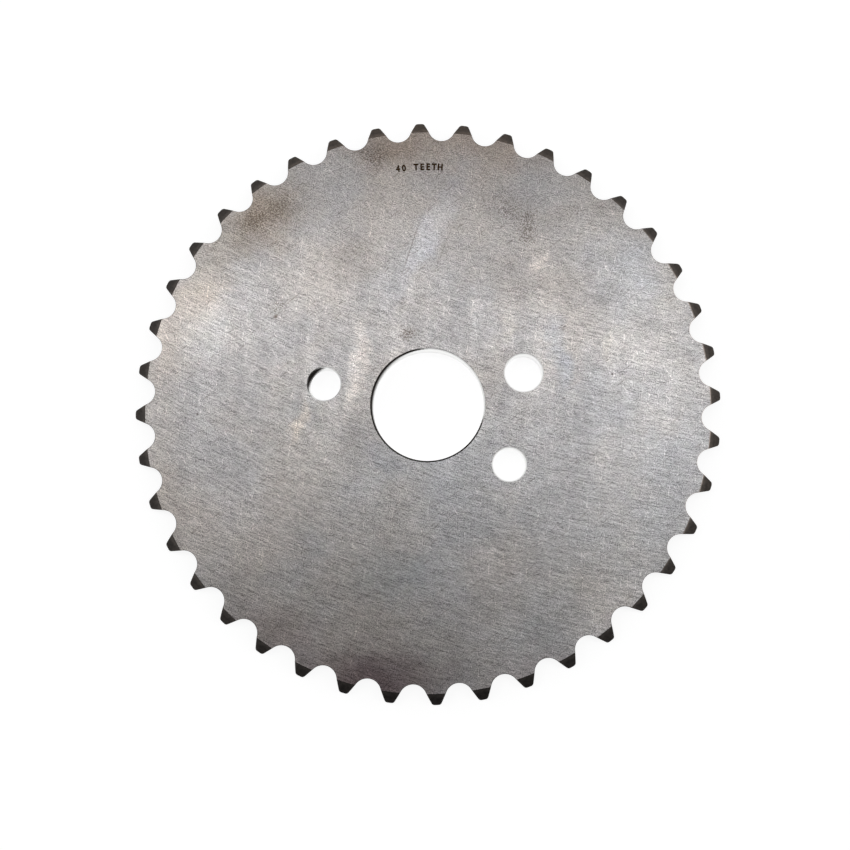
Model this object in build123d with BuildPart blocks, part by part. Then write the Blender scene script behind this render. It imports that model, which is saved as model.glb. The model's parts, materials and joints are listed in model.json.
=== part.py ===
from build123d import *

import math
import os

# Camshaft gear for a bush chain: one flat ground steel plate with chain teeth
# round its rim, a central bore that centres it on the camshaft's nose, and three
# holes for the flange behind it. Its back face lies on z = 0, the bore's axis is
# the Z axis, and the front face looks up. Lengths are in millimetres and angles
# in degrees, turning from +X towards +Y.

# Chain that the teeth are cut for
CHAIN_PITCH = 9.525
BUSH_DIAMETER = 5.08

# Plate
TOOTH_COUNT = 40
PLATE_THICKNESS = 4.3
FIRST_TOOTH_ANGLE = 1.77

# Teeth: how far they stand above the pitch circle, as a share of the pitch that a
# bush leaves free, the clearance that the seat leaves below a bush and the play
# round it, the rounding of each tip's two corners as a share of the tip's width,
# and the bevel on both faces, measured inward from the tip and down from the face
TIP_SHARE = 0.378
SEAT_CLEARANCE = 0.14
SEAT_PLAY = 0.36
TIP_CORNER_SHARE = 0.41
BEVEL_HEIGHT = 2.45
BEVEL_DEPTH = 1.2

# Central bore, and the chamfer that leads the camshaft's nose into it
BORE_DIAMETER = 23.8
BORE_CHAMFER = 0.3

# Two bolt holes, each at its own radius from the bore's axis
BOLT_HOLE_DIAMETER = 7.0
LEFT_BOLT_RADIUS = 22.5
LEFT_BOLT_ANGLE = 168.5
RIGHT_BOLT_RADIUS = 21.4
RIGHT_BOLT_ANGLE = -36.4

# The larger hole, which times the gear to the camshaft
TIMING_HOLE_DIAMETER = 8.0
TIMING_HOLE_RADIUS = 21.5
TIMING_HOLE_ANGLE = 18.5

# Width of the burr taken off the rims of the three flange holes
HOLE_EDGE_BREAK = 0.2

# Circles of the tooth form, and its two arcs: a seat a little wider than the bush,
# which reaches as far round it as such teeth allow, and long convex flanks that
# leave it on both sides
pitch_radius = CHAIN_PITCH / (2 * math.sin(math.pi / TOOTH_COUNT))
root_radius = pitch_radius - BUSH_DIAMETER / 2 - SEAT_CLEARANCE
tip_radius = pitch_radius + TIP_SHARE * (CHAIN_PITCH - BUSH_DIAMETER)
seat_radius = BUSH_DIAMETER / 2 + SEAT_PLAY
seat_sweep = 127 - 90 / TOOTH_COUNT
flank_radius = 0.008 * BUSH_DIAMETER * (TOOTH_COUNT**2 + 180)
first_gap_angle = FIRST_TOOTH_ANGLE + 180 / TOOTH_COUNT


def on_circle(radius, angle, centre=Vector(0, 0)):
    """The point at this radius and angle round a centre."""
    return centre + Vector(radius, 0).rotate(Axis.Z, angle)


def is_tip_corner(corner):
    """True for a corner of the outline that lies on the tip circle."""
    return math.isclose(math.hypot(corner.X, corner.Y), tip_radius, abs_tol=0.001)


def is_tip(edge):
    """True for an edge of the outline whose ends both lie on the tip circle."""
    return all(is_tip_corner(corner) for corner in edge.vertices())


# The space between two teeth, lying along +X, open past the tip circle
seat_centre = Vector(root_radius + seat_radius, 0)
seat_end_angle = 180 - seat_sweep / 2
flank_centre = on_circle(seat_radius + flank_radius, seat_end_angle, seat_centre)
flank_sweep = math.degrees(2 * (tip_radius - root_radius) / flank_radius)

with BuildSketch() as tooth_gap:
    with BuildLine():
        CenterArc(seat_centre, seat_radius, seat_end_angle, seat_sweep)
        flank = CenterArc(flank_centre, flank_radius, -seat_sweep / 2, flank_sweep)
        mirror(flank, about=Plane.XZ)
        flank_end = flank @ 1
        Line(flank_end, (flank_end.X, -flank_end.Y))
    make_face()

with BuildPart() as camshaft_gear:
    # The toothed plate: a disc with one space cut between each pair of teeth
    with BuildSketch(Plane.XY.rotated((0, 0, first_gap_angle))) as outline:
        Circle(tip_radius)
        with PolarLocations(0, TOOTH_COUNT):
            add(tooth_gap.sketch, mode=Mode.SUBTRACT)
        tip_width = outline.edges().filter_by(is_tip)[0].length
        fillet(outline.vertices().filter_by(is_tip_corner), TIP_CORNER_SHARE * tip_width)
    extrude(amount=PLATE_THICKNESS)

    # Bevels that guide the chain's side plates onto the teeth, front and back
    for face_height, inward in ((PLATE_THICKNESS, -1), (0, 1)):
        with BuildSketch(Plane.XZ):
            with BuildLine():
                Polyline(
                    (tip_radius - BEVEL_HEIGHT, face_height),
                    (tip_radius + BEVEL_HEIGHT, face_height + 2 * inward * BEVEL_DEPTH),
                    (tip_radius + BEVEL_HEIGHT, face_height),
                    close=True,
                )
            make_face()
        revolve(axis=Axis.Z, mode=Mode.SUBTRACT)

    # Bore and flange holes, straight through, each with its rims broken on both faces
    holes = (
        (on_circle(0, 0), BORE_DIAMETER, BORE_CHAMFER),
        (on_circle(LEFT_BOLT_RADIUS, LEFT_BOLT_ANGLE), BOLT_HOLE_DIAMETER, HOLE_EDGE_BREAK),
        (on_circle(RIGHT_BOLT_RADIUS, RIGHT_BOLT_ANGLE), BOLT_HOLE_DIAMETER, HOLE_EDGE_BREAK),
        (on_circle(TIMING_HOLE_RADIUS, TIMING_HOLE_ANGLE), TIMING_HOLE_DIAMETER, HOLE_EDGE_BREAK),
    )
    for centre, diameter, rim_width in holes:
        with Locations(centre):
            Hole(diameter / 2)
        chamfer(camshaft_gear.edges(Select.LAST).filter_by(GeomType.CIRCLE), rim_width)

camshaft_gear.part.label = "camshaft_gear"

os.makedirs("parts", exist_ok=True)
export_step(camshaft_gear.part, "parts/camshaft_gear.step")
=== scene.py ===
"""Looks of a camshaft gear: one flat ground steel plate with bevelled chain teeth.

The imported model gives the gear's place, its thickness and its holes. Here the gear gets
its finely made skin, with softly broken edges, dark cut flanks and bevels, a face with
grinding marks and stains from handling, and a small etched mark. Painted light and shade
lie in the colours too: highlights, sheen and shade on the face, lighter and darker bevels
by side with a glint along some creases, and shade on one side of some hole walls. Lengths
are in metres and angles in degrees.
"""

import json
import logging
import math
from dataclasses import dataclass, field
from enum import IntEnum
from typing import Iterable, Optional, Sequence, Union

import bpy
import numpy as np
from mathutils import Matrix, Vector
from mathutils.geometry import delaunay_2d_cdt


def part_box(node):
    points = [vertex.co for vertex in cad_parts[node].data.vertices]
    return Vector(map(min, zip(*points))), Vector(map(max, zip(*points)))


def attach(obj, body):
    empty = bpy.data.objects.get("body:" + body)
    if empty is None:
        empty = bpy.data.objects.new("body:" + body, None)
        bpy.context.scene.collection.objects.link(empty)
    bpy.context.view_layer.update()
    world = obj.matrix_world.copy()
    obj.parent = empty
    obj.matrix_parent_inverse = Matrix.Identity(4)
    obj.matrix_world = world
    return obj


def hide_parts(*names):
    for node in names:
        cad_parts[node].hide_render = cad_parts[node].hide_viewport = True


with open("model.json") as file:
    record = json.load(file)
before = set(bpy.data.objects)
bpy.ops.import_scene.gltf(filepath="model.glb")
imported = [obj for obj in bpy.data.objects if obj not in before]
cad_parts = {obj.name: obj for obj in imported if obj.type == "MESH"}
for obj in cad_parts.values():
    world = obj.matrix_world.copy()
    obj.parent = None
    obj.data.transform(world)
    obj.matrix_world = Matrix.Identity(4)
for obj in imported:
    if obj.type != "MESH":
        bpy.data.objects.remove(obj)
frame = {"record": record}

MM = 0.001
SAME_SPOT = 1e-9
GEAR_NODE = "camshaft_gear"

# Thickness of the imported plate, and the height of its front face in millimetres
PLATE_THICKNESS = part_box(GEAR_NODE)[1][2]
FRONT_HEIGHT = PLATE_THICKNESS / MM

# Stretches of a random pattern's values that a finish uses: its middle, and nearly all of it
MID_RANGE = (0.35, 0.65)
FULL_RANGE = (0.3, 0.7)

log = logging.getLogger("camshaft_gear")

Socket = bpy.types.NodeSocket
Number = Union[float, Socket]
Colour = tuple[float, float, float]
Spot = tuple[float, float]
Tie = tuple[int, int]


class Surface(IntEnum):
    """The kinds of surface on the gear, in the order of its material slots."""

    FACE = 0
    CUT = 1
    BORE = 2
    # A hole wall with painted shade on one side
    OILY_HOLE = 3
    CLEAN_HOLE = 4
    MARK = 5


def unit(angle: float) -> np.ndarray:
    """Gives the unit vector at an angle in radians."""
    return np.array([math.cos(angle), math.sin(angle)])


@dataclass(frozen=True)
class ToothForm:
    """The chain teeth: their driving sizes and the outline that follows from them."""

    pitch: float = 9.525 * MM
    bush_diameter: float = 5.08 * MM
    count: int = 40
    first_tooth: float = 1.77
    tip_height: float = 1.68 * MM
    seat_clearance: float = 0.14 * MM
    seat_play: float = 0.36 * MM
    seat_sweep: float = 124.75
    flank_factor: float = 0.008
    flank_offset: int = 180
    tip_corner: float = 0.7 * MM
    bevel_height: float = 2.45 * MM
    bevel_depth: float = 1.2 * MM
    crease_width: float = 0.05 * MM
    seat_steps: int = 12
    flank_steps: int = 4
    corner_steps: int = 4
    tip_steps: int = 2

    @property
    def pitch_radius(self) -> float:
        """Radius of the circle that the chain's pins lie on."""
        return self.pitch / (2 * math.sin(math.pi / self.count))

    @property
    def tip_radius(self) -> float:
        """Radius of the gear over its tooth tips."""
        return self.pitch_radius + self.tip_height

    @property
    def root_radius(self) -> float:
        """Radius at the bottom of the spaces between the teeth."""
        return self.pitch_radius - self.bush_diameter / 2 - self.seat_clearance

    @property
    def seat_radius(self) -> float:
        """Radius of the round seat that takes a bush of the chain."""
        return self.bush_diameter / 2 + self.seat_play

    @property
    def seat_end(self) -> float:
        """Angle in radians, from the seat's centre, at which the seat meets the flank."""
        return math.radians(180 - self.seat_sweep / 2)

    @property
    def flank_radius(self) -> float:
        """Radius of the long convex flank."""
        return self.flank_factor * self.bush_diameter * (self.count**2 + self.flank_offset)

    @property
    def bevel_start(self) -> float:
        """Radius at which the bevel leaves the flat face."""
        return self.tip_radius - self.bevel_height

    def drop(self, radius: np.ndarray) -> np.ndarray:
        """Gives how far the bevel lies below the face.

        Args:
            radius: Distances from the bore's axis.

        Returns:
            The depth at each radius, with a slightly rounded crease where it starts.
        """
        past = np.asarray(radius) - self.bevel_start
        width = self.crease_width
        soft = np.where(past > width, past, np.where(past < -width, 0.0, (past + width) ** 2 / (4 * width)))
        return soft * self.bevel_depth / self.bevel_height

    def half_tooth(self, inset: float, crease_inset: float) -> np.ndarray:
        """Traces the outline from the middle of a space to the middle of the next tooth.

        Args:
            inset: How far the line lies inside the true outline.
            crease_inset: The inset at which three of the points lie on the bevel's crease.

        Returns:
            Points with the space lying along +X, one row a point.
        """
        seat_centre = np.array([self.root_radius + self.seat_radius, 0.0])
        flank_centre = seat_centre + (self.seat_radius + self.flank_radius) * unit(self.seat_end)
        corner_centre = self._corner_centre(flank_centre)
        flank_end = math.atan2(*(corner_centre - flank_centre)[::-1])
        corner_end = math.atan2(corner_centre[1], corner_centre[0])

        seat = [
            seat_centre + (self.seat_radius + inset) * unit(angle)
            for angle in np.linspace(math.pi, self.seat_end, self.seat_steps)
        ]
        flank = [
            flank_centre + (self.flank_radius - inset) * unit(angle)
            for angle in self._flank_angles(flank_centre, flank_end, crease_inset)
        ]
        corner = [
            corner_centre + (self.tip_corner - inset) * unit(angle)
            for angle in np.linspace(flank_end, corner_end, self.corner_steps + 1)[1:]
        ]
        tip = [
            (self.tip_radius - inset) * unit(angle)
            for angle in np.linspace(corner_end, math.pi / self.count, self.tip_steps + 1)[1:]
        ]
        return np.array(seat + flank + corner + tip)

    def _corner_centre(self, flank_centre: np.ndarray) -> np.ndarray:
        """Finds the centre of the small arc that joins a flank to the tip circle.

        Args:
            flank_centre: Centre of the flank's arc.

        Returns:
            The point that lies inside both arcs by the corner's radius.
        """
        from_axis = self.tip_radius - self.tip_corner
        from_flank = self.flank_radius - self.tip_corner
        apart = float(np.hypot(*flank_centre))
        along = (from_axis**2 - from_flank**2 + apart**2) / (2 * apart)
        across = math.sqrt(from_axis**2 - along**2)
        towards = flank_centre / apart
        return along * towards + across * np.array([towards[1], -towards[0]])

    def _flank_angles(self, centre: np.ndarray, end: float, inset: float) -> list[float]:
        """Chooses the flank's points so that some of them lie on the bevel's crease.

        Args:
            centre: Centre of the flank's arc.
            end: Angle in radians at which the flank meets the tip corner.
            inset: Distance inside the true outline at which the crease is met.

        Returns:
            Angles in radians from the flank's centre, outward along the tooth.
        """
        start = self.seat_end - math.pi
        arc = self.flank_radius - inset
        apart = float(np.hypot(*centre))
        facing = math.atan2(centre[1], centre[0])
        creases = []
        for offset in (-self.crease_width, 0.0, self.crease_width):
            reach = self.bevel_start + offset
            turn = math.acos((reach**2 - apart**2 - arc**2) / (2 * apart * arc))
            creases.append(facing - turn)
        below = np.linspace(start, creases[0], self.flank_steps + 1)[1:-1]
        above = np.linspace(creases[-1], end, self.flank_steps + 1)[1:]
        return [*below, *creases, *above]

    def outline(self, inset: float, crease_inset: float) -> np.ndarray:
        """Traces the whole toothed outline, counter-clockwise.

        Args:
            inset: How far the line lies inside the true outline.
            crease_inset: The inset at which points lie on the bevel's crease.

        Returns:
            One row a point, with the same number of points for every tooth.
        """
        half = self.half_tooth(inset, crease_inset)
        step = 2 * math.pi / self.count
        mirror = np.array([[math.cos(step), math.sin(step)], [math.sin(step), -math.cos(step)]])
        other = (half @ mirror.T)[-2:0:-1]
        tooth = np.vstack([half, other])
        first = math.radians(self.first_tooth) + step / 2
        rounds = []
        for index in range(self.count):
            turn = first + index * step
            spin = np.array([[math.cos(turn), -math.sin(turn)], [math.sin(turn), math.cos(turn)]])
            rounds.append(tooth @ spin.T)
        return np.vstack(rounds)

    def rungs(self) -> list[Tie]:
        """Lists the points of one tooth's flanks that lie on the bevel at one radius.

        Returns:
            Pairs of numbers within the tooth's outline, one for each flank.
        """
        half_count = self.seat_steps + 2 * self.flank_steps + 2 + self.corner_steps + self.tip_steps
        first = self.seat_steps + self.flank_steps - 1
        last = half_count - self.tip_steps - 1
        top = 2 * (half_count - 1)
        return [(index, top - index) for index in range(first, last)]


@dataclass(frozen=True)
class RoundHole:
    """One round hole through the plate, with the burr broken off its rims."""

    centre: Spot
    radius: float
    kind: Surface
    edge_break: float
    softness: float = 0.04 * MM
    easing: float = 0.04 * MM / 3
    steps: int = 96

    def section(self, thickness: float) -> list[Spot]:
        """Gives the wall's section from the front face to the back face.

        Args:
            thickness: Thickness of the plate.

        Returns:
            Pairs of radius and height.
        """
        edge = self.edge_break
        upper = [
            (self.radius + edge + self.softness, thickness),
            (self.radius + edge, thickness - self.easing),
            (self.radius + self.easing, thickness - edge),
            (self.radius, thickness - edge - self.softness),
        ]
        lower = [(radius, thickness - height) for radius, height in reversed(upper)]
        return upper + lower

    def ring(self, radius: float) -> np.ndarray:
        """Gives one circle of points round the hole's axis, counter-clockwise.

        Args:
            radius: Radius of the circle.

        Returns:
            One row a point.
        """
        turns = np.linspace(0, 2 * math.pi, self.steps, endpoint=False)
        return np.column_stack([
            self.centre[0] + radius * np.cos(turns),
            self.centre[1] + radius * np.sin(turns),
        ])


@dataclass(frozen=True)
class EtchedMark:
    """A short generic mark, set on an arc near the rim: the number of teeth, in plain words."""

    words: str = "40 TEETH"
    arc_radius: float = 51.45 * MM
    middle_angle: float = 92.2
    letter_height: float = 1.45 * MM
    letter_pitch: float = 1.32 * MM
    letter_squeeze: float = 0.82
    depth: float = 0.03 * MM
    stroke_growth: float = 0.1 * MM
    cap_share: float = 0.73
    curve_steps: int = 3

    def loops(self) -> list[np.ndarray]:
        """Gives the closed outlines of all letters, placed on the plate.

        Returns:
            One array of points for each outline, with one row a point.
        """
        placed = []
        middle = (len(self.words) - 1) / 2
        for index, letter in enumerate(self.words):
            if letter == " ":
                continue
            along = (index - middle) * self.letter_pitch / (self.arc_radius + self.letter_height / 2)
            angle = math.radians(self.middle_angle) - along
            outward = unit(angle)
            rightward = np.array([outward[1], -outward[0]])
            for loop in self._letter(letter):
                spots = self.arc_radius * outward + loop[:, :1] * rightward + loop[:, 1:] * outward
                placed.append(spots)
        return placed

    def _letter(self, letter: str) -> list[np.ndarray]:
        """Reads one letter's outlines from the built-in typeface.

        Args:
            letter: The letter to draw.

        Returns:
            Its closed outlines, centred on x = 0 with the baseline on y = 0.
        """
        curve = bpy.data.curves.new("letter_outline", "FONT")
        curve.body = letter
        curve.align_x = "CENTER"
        curve.fill_mode = "NONE"
        curve.resolution_u = self.curve_steps
        holder = bpy.data.objects.new("letter_outline", curve)
        mesh = bpy.data.meshes.new_from_object(holder)
        scale = self.letter_height / self.cap_share
        spots = [(point.co.x * scale * self.letter_squeeze, point.co.y * scale) for point in mesh.vertices]
        loops = [np.array([spots[point] for point in walk]) for walk in closed_walks(mesh)]
        bpy.data.objects.remove(holder)
        bpy.data.curves.remove(curve)
        bpy.data.meshes.remove(mesh)
        return [self._bolder(loop, loops) for loop in loops]

    def _bolder(self, loop: np.ndarray, loops: list[np.ndarray]) -> np.ndarray:
        """Moves one outline away from the ink, so that the letter's strokes get wider.

        Args:
            loop: The outline to move.
            loops: All outlines of the letter.

        Returns:
            The moved outline.
        """
        ahead = np.roll(loop, -1, axis=0)
        loop = loop[np.hypot(*(ahead - loop).T) > SAME_SPOT]
        others = [other for other in loops if not np.array_equal(other[:1], loop[:1])]
        is_hole = bool(inside(loop[:1], others)[0])
        ahead = np.roll(loop, -1, axis=0)
        area = float(np.sum(loop[:, 0] * ahead[:, 1] - ahead[:, 0] * loop[:, 1]))
        if (area > 0) == is_hole:
            loop = loop[::-1]
        onward = np.roll(loop, -1, axis=0) - loop
        onward /= np.hypot(*onward.T)[:, None]
        away = np.column_stack([onward[:, 1], -onward[:, 0]])
        before = np.roll(away, 1, axis=0)
        shared = 1 + np.sum(away * before, axis=1, keepdims=True)
        return loop + self.stroke_growth * (away + before) / shared


def inside(points: np.ndarray, loops: Iterable[np.ndarray]) -> np.ndarray:
    """Tells which points lie inside a set of closed outlines, by counting crossings.

    Args:
        points: The points to test, one row each.
        loops: Closed outlines. One that lies in another one is a hole in it.

    Returns:
        One truth value for each point.
    """
    odd = np.zeros(len(points), bool)
    for loop in loops:
        ahead = np.roll(loop, -1, axis=0)
        for (x0, y0), (x1, y1) in zip(loop, ahead):
            spans = (y0 > points[:, 1]) != (y1 > points[:, 1])
            if not spans.any():
                continue
            crossing = x0 + (points[spans, 1] - y0) * (x1 - x0) / (y1 - y0)
            odd[np.flatnonzero(spans)[crossing > points[spans, 0]]] ^= True
    return odd


def closed_walks(mesh: bpy.types.Mesh) -> list[list[int]]:
    """Follows a mesh's edges round each of its closed outlines.

    Args:
        mesh: A mesh in which two edges meet at each point.

    Returns:
        The numbers of each outline's points, in order.
    """
    ties: dict[int, list[int]] = {}
    for edge in mesh.edges:
        first, second = edge.vertices
        ties.setdefault(first, []).append(second)
        ties.setdefault(second, []).append(first)
    walks = []
    left = set(ties)
    while left:
        walk = [min(left)]
        left.discard(walk[0])
        while onward := [point for point in ties[walk[-1]] if point in left]:
            walk.append(onward[0])
            left.discard(onward[0])
        walks.append(walk)
    return walks


def ring_ties(start: int, count: int) -> list[Tie]:
    """Pairs each point of a closed ring with the next one, from the ring's first number on."""
    return [(start + index, start + (index + 1) % count) for index in range(count)]


class MeshBench:
    """Collects points and faces of one mesh, each face with its kind of surface."""

    def __init__(self) -> None:
        """Starts with an empty mesh."""
        self.points: list[tuple[float, float, float]] = []
        self.faces: list[tuple[int, ...]] = []
        self.kinds: list[int] = []
        self.smooth: list[bool] = []

    def add_points(self, flat: np.ndarray, heights: Union[float, np.ndarray]) -> list[int]:
        """Adds points.

        Args:
            flat: Their places across the plate, one row each.
            heights: One height for all of them, or one for each.

        Returns:
            Their numbers in the mesh.
        """
        start = len(self.points)
        heights = np.broadcast_to(heights, len(flat))
        self.points += [(float(x), float(y), float(z)) for (x, y), z in zip(flat, heights)]
        return list(range(start, len(self.points)))

    def add_face(self, corners: Sequence[int], kind: Surface, smooth: bool) -> None:
        """Adds one face.

        Args:
            corners: Numbers of its corners, counter-clockwise as seen from outside.
            kind: Its kind of surface.
            smooth: Whether it is shaded as part of a curve.
        """
        self.faces.append(tuple(corners))
        self.kinds.append(int(kind))
        self.smooth.append(smooth)

    def bridge(self, upper: list[int], lower: list[int], kind: Surface, smooth: bool = True) -> None:
        """Joins two closed rings of points by a band of quads that faces away from their inside.

        Args:
            upper: The ring nearer the front face, counter-clockwise.
            lower: The ring nearer the back face, counter-clockwise.
            kind: The kind of surface of the band.
            smooth: Whether the band is shaded as a curve.
        """
        for index in range(len(upper)):
            after = (index + 1) % len(upper)
            self.add_face((upper[index], lower[index], lower[after], upper[after]), kind, smooth)

    def finish(self, name: str) -> bpy.types.Object:
        """Makes the object.

        Args:
            name: Name of the object and of its mesh.

        Returns:
            The new object, linked to the scene.
        """
        mesh = bpy.data.meshes.new(name)
        mesh.from_pydata(self.points, [], self.faces)
        mesh.polygons.foreach_set("material_index", self.kinds)
        mesh.polygons.foreach_set("use_smooth", self.smooth)
        mesh.validate(clean_customdata=False)
        mesh.update()
        made = bpy.data.objects.new(name, mesh)
        bpy.context.scene.collection.objects.link(made)
        return made


@dataclass
class GearPlate:
    """The gear: toothed rim, bevels on both faces, bore and flange holes, and the mark."""

    teeth: ToothForm
    holes: list[RoundHole]
    mark: EtchedMark
    thickness: float
    edge_round: float = 0.09 * MM
    round_steps: int = 3
    rung_steps: int = 5
    name: str = "gear_plate"
    bench: MeshBench = field(default_factory=MeshBench)

    def build(self) -> bpy.types.Object:
        """Builds the gear's mesh and hides the plain solid that it stands for.

        Returns:
            The gear.
        """
        rings = self._rim()
        front_loops = [rings[0]]
        back_loops = [rings[-1]]
        for hole in self.holes:
            front, back = self._hole(hole)
            front_loops.append(front)
            back_loops.append(back)
        self._face(front_loops, front=True)
        self._face(back_loops, front=False)
        gear = self.bench.finish(self.name)
        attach(gear, "root")
        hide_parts(GEAR_NODE)
        return gear

    def dress(self, gear: bpy.types.Object, finishes: dict[Surface, bpy.types.Material]) -> None:
        """Gives each kind of surface its finish.

        Args:
            gear: The gear's object.
            finishes: One material for each kind of surface.
        """
        for surface in Surface:
            gear.data.materials.append(finishes[surface])

    def _rim(self) -> list[list[int]]:
        """Makes the toothed edge, from the front face round to the back face.

        Returns:
            The rings of points, the first on the front face and the last on the back.
        """
        steps = np.linspace(math.pi / 2, 0, self.round_steps + 1)
        insets = [self.edge_round * (1 - math.cos(step)) for step in steps]
        drops = [self.edge_round * (1 - math.sin(step)) for step in steps]
        rings = []
        for inset, drop in zip(insets, drops):
            flat = self.teeth.outline(inset, self.edge_round)
            height = self.thickness - self.teeth.drop(np.hypot(flat[:, 0], flat[:, 1])) - drop
            rings.append((flat, height))
        for flat, height in reversed(rings[:]):
            rings.append((flat, self.thickness - height))
        numbered = [self.bench.add_points(flat, height) for flat, height in rings]
        for upper, lower in zip(numbered, numbered[1:]):
            self.bench.bridge(upper, lower, Surface.CUT)
        return numbered

    def _hole(self, hole: RoundHole) -> tuple[list[int], list[int]]:
        """Makes one hole's wall.

        Args:
            hole: The hole.

        Returns:
            The wall's ring on the front face and its ring on the back face.
        """
        rings = [
            self.bench.add_points(hole.ring(radius), height)
            for radius, height in hole.section(self.thickness)
        ]
        for upper, lower in zip(rings, rings[1:]):
            self.bench.bridge(upper[::-1], lower[::-1], hole.kind)
        return rings[0], rings[-1]

    def _face(self, loops: list[list[int]], front: bool) -> None:
        """Fills one face of the plate between its outline and its holes.

        Args:
            loops: Numbers of the boundary points, the toothed outline first.
            front: True for the front face, which carries the mark.
        """
        known = [number for loop in loops for number in loop]
        flat = [self.bench.points[number][:2] for number in known]
        ties: list[Tie] = []
        for loop in loops:
            ties += ring_ties(len(ties), len(loop))
        extra = self._rung_points(flat, len(loops[0]), ties)
        letters = self.mark.loops() if front else []
        for loop in letters:
            ties += ring_ties(len(flat) + len(extra), len(loop))
            extra += [tuple(spot) for spot in loop]

        made = delaunay_2d_cdt([Vector(spot) for spot in flat + extra], ties, [], 0, SAME_SPOT)
        spots = np.array([tuple(spot) for spot in made[0]])
        faces = np.array(made[2])
        middles = spots[faces].mean(axis=1)
        numbers = self._numbered(spots, made[3], known, front)
        lettered = inside(middles, letters)
        plain = self._on_plate(middles, np.array(flat[:len(loops[0])])) & ~lettered
        bevelled = np.hypot(*middles.T) > self.teeth.bevel_start - self.teeth.crease_width
        for face, is_cut in zip(faces[plain], bevelled[plain]):
            corners = [numbers[item] for item in (face if front else face[::-1])]
            self.bench.add_face(corners, Surface.CUT if is_cut else Surface.FACE, smooth=bool(is_cut))
        if front:
            self._sink(faces[lettered], spots, numbers)

    def _on_plate(self, middles: np.ndarray, rim: np.ndarray) -> np.ndarray:
        """Tells which triangles lie on the plate, and not beyond its rim or in a hole.

        Args:
            middles: The triangles' middles.
            rim: The toothed outline.

        Returns:
            One truth value for each triangle.
        """
        kept = inside(middles, [rim])
        for hole in self.holes:
            kept &= np.hypot(*(middles - hole.centre).T) > hole.radius + hole.edge_break
        return kept

    def _numbered(
        self,
        spots: np.ndarray,
        owners: Sequence[Sequence[int]],
        known: Sequence[int],
        front: bool,
    ) -> list[int]:
        """Finds each point of a filled face in the mesh, or adds it at the face's height.

        Args:
            spots: The points of the filled face.
            owners: For each point, the points that it was made from.
            known: Numbers in the mesh of the boundary points, which come first.
            front: True for the front face.

        Returns:
            The points' numbers in the mesh.
        """
        heights = self.thickness - self.teeth.drop(np.hypot(*spots.T))
        if not front:
            heights = self.thickness - heights
        numbers = []
        for spot, height, owner in zip(spots, heights, owners):
            given = [item for item in owner if item < len(known)]
            numbers.append(known[given[0]] if given else self.bench.add_points(spot[None], height)[0])
        return numbers

    def _rung_points(self, flat: list[Spot], rim_count: int, ties: list[Tie]) -> list[Spot]:
        """Adds arcs across each tooth's bevel, so that its cone is smooth.

        Args:
            flat: The boundary points, the toothed outline first.
            rim_count: How many of them lie on the toothed outline.
            ties: The list of tied pairs, which the arcs are added to.

        Returns:
            The points between the arcs' ends.
        """
        extra = []
        per_tooth = rim_count // self.teeth.count
        for tooth in range(self.teeth.count):
            for left, right in self.teeth.rungs():
                ends = [tooth * per_tooth + left, tooth * per_tooth + right]
                first, last = (np.array(flat[end]) for end in ends)
                radius = float(np.hypot(*first))
                start = math.atan2(first[1], first[0])
                sweep = (math.atan2(last[1], last[0]) - start) % (2 * math.pi)
                before = ends[0]
                for step in range(1, self.rung_steps):
                    extra.append(tuple(radius * unit(start + sweep * step / self.rung_steps)))
                    number = len(flat) + len(extra) - 1
                    ties.append((before, number))
                    before = number
                ties.append((before, ends[1]))
        return extra

    def _sink(self, faces: np.ndarray, spots: np.ndarray, numbers: list[int]) -> None:
        """Lowers the letters' floors a little and closes the step round them.

        Args:
            faces: The triangles inside the letters.
            spots: Places of all points of the face.
            numbers: Numbers in the mesh of all points of the face.
        """
        floor: dict[int, int] = {}
        for item in sorted({int(item) for face in faces for item in face}):
            floor[item] = self.bench.add_points(spots[item][None], self.thickness - self.mark.depth)[0]
        borders: dict[Tie, None] = {}
        for face in faces:
            self.bench.add_face([floor[int(item)] for item in face], Surface.MARK, smooth=False)
            for first, second in zip(face, np.roll(face, -1)):
                borders[(int(first), int(second))] = None
        for first, second in borders:
            if (second, first) not in borders:
                corners = (numbers[first], numbers[second], floor[second], floor[first])
                self.bench.add_face(corners, Surface.MARK, smooth=False)


@dataclass(frozen=True)
class Grain:
    """How a random pattern is grained: how fine it is, and how much finer detail lies on it."""

    scale: float
    detail: float = 2.0
    roughness: float = 0.5


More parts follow.
